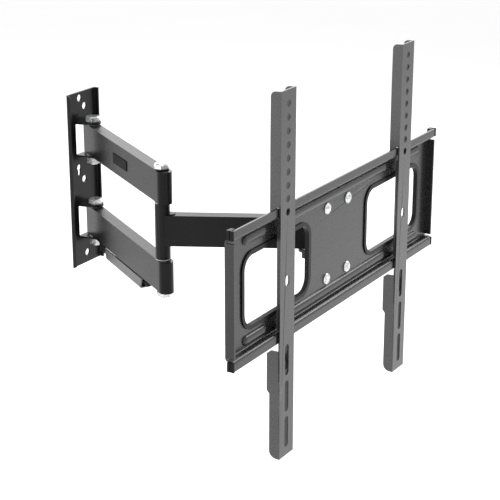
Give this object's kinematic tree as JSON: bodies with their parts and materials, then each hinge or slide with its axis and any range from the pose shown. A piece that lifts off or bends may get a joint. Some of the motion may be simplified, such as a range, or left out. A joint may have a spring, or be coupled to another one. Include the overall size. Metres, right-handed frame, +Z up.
{
  "type": "full motion tv wall mount",
  "caption": "Full motion wall mount: upright wall plate, paired folding arms, single front arm, tilting tray plate and hook-on slotted screen brackets.",
  "frame": {"origin": "on the back face of the wall plate, on its centre line, 15 mm below its middle, in the wall plane", "axes": "+Y into the wall, -Y towards the viewer and the television, +Z up, +X to the viewer's right"},
  "size_m": [0.4974, 0.421, 0.43],
  "materials": {
    "satin_paint": "satin fine-textured powder coat, charcoal",
    "black_paint": "satin black paint",
    "zinc": "bright zinc plate",
    "black_plastic": "moulded black plastic",
    "nylon": "natural nylon"
  },
  "bodies": {
    "wall": {"lower_wall_bolt": "zinc", "lower_wall_glide_bottom": "nylon", "lower_wall_glide_top": "nylon", "lower_wall_nut": "zinc", "lower_wall_washer": "black_paint", "upper_wall_bolt": "zinc", "upper_wall_glide_bottom": "nylon", "upper_wall_glide_top": "nylon", "upper_wall_nut": "zinc", "upper_wall_washer": "black_paint", "wall_plate": "satin_paint"},
    "rear_arms": {"arm_label_plate": "black_plastic", "cable_clip_elbow_end": "black_plastic", "cable_clip_wall_end": "black_plastic", "cable_cover": "satin_paint", "elbow_bolt": "zinc", "elbow_nut": "zinc", "elbow_washer_top": "black_paint", "lower_arm": "satin_paint", "lower_elbow_cap": "black_plastic", "upper_arm": "satin_paint", "upper_elbow_cap": "black_plastic"},
    "front_arms": {"elbow_bush_bottom": "nylon", "elbow_bush_top": "nylon", "front_arm": "satin_paint"},
    "head": {"head_bolt": "black_paint", "head_glide_bottom": "nylon", "head_glide_top": "nylon", "head_nut": "black_paint", "swivel_yoke": "black_paint", "tilt_bolt_left": "black_paint", "tilt_bolt_right": "black_paint", "tilt_friction_washer_left": "nylon", "tilt_friction_washer_right": "nylon", "tilt_nut_left": "zinc", "tilt_nut_right": "zinc"},
    "plate": {"plate_screw_1": "zinc", "plate_screw_2": "zinc", "plate_screw_3": "zinc", "plate_screw_4": "zinc", "rail_cap_bottom_left": "black_plastic", "rail_cap_bottom_right": "black_plastic", "rail_cap_top_left": "black_plastic", "rail_cap_top_right": "black_plastic", "tilt_bracket": "black_paint", "tv_plate": "satin_paint", "window_trim_left": "black_plastic", "window_trim_right": "black_plastic"},
    "bracket_left": {"left_bracket": "satin_paint", "left_lock_block": "black_paint", "left_lock_screw": "zinc"},
    "bracket_right": {"right_bracket": "satin_paint", "right_lock_block": "black_paint", "right_lock_screw": "zinc"}
  },
  "joints": [
    {"name": "shoulder_fold", "type": "hinge", "parent": "wall", "child": "rear_arms", "pos_m": [0, -0.0194, 0.015], "axis": [0, 0, -1], "range_deg": [-60, 50]},
    {"name": "elbow_fold", "type": "hinge", "parent": "rear_arms", "child": "front_arms", "pos_m": [-0.129, -0.2171, 0.015], "axis": [0, 0, 1], "range_deg": [-95, 60]},
    {"name": "head_swivel", "type": "hinge", "parent": "front_arms", "child": "head", "pos_m": [-0.0466, -0.3721, 0.015], "axis": [0, 0, -1], "range_deg": [-90, 60]},
    {"name": "screen_tilt", "type": "hinge", "parent": "head", "child": "plate", "pos_m": [-0.0466, -0.3941, 0.015], "axis": [1, 0, 0], "range_deg": [-5, 15]},
    {"name": "left_bracket_slide", "type": "slide", "parent": "plate", "child": "bracket_left", "axis": [1, 0, 0], "range_m": [-0.07, 0.08]},
    {"name": "right_bracket_slide", "type": "slide", "parent": "plate", "child": "bracket_right", "axis": [1, 0, 0], "range_m": [-0.095, 0.05]}
  ]
}
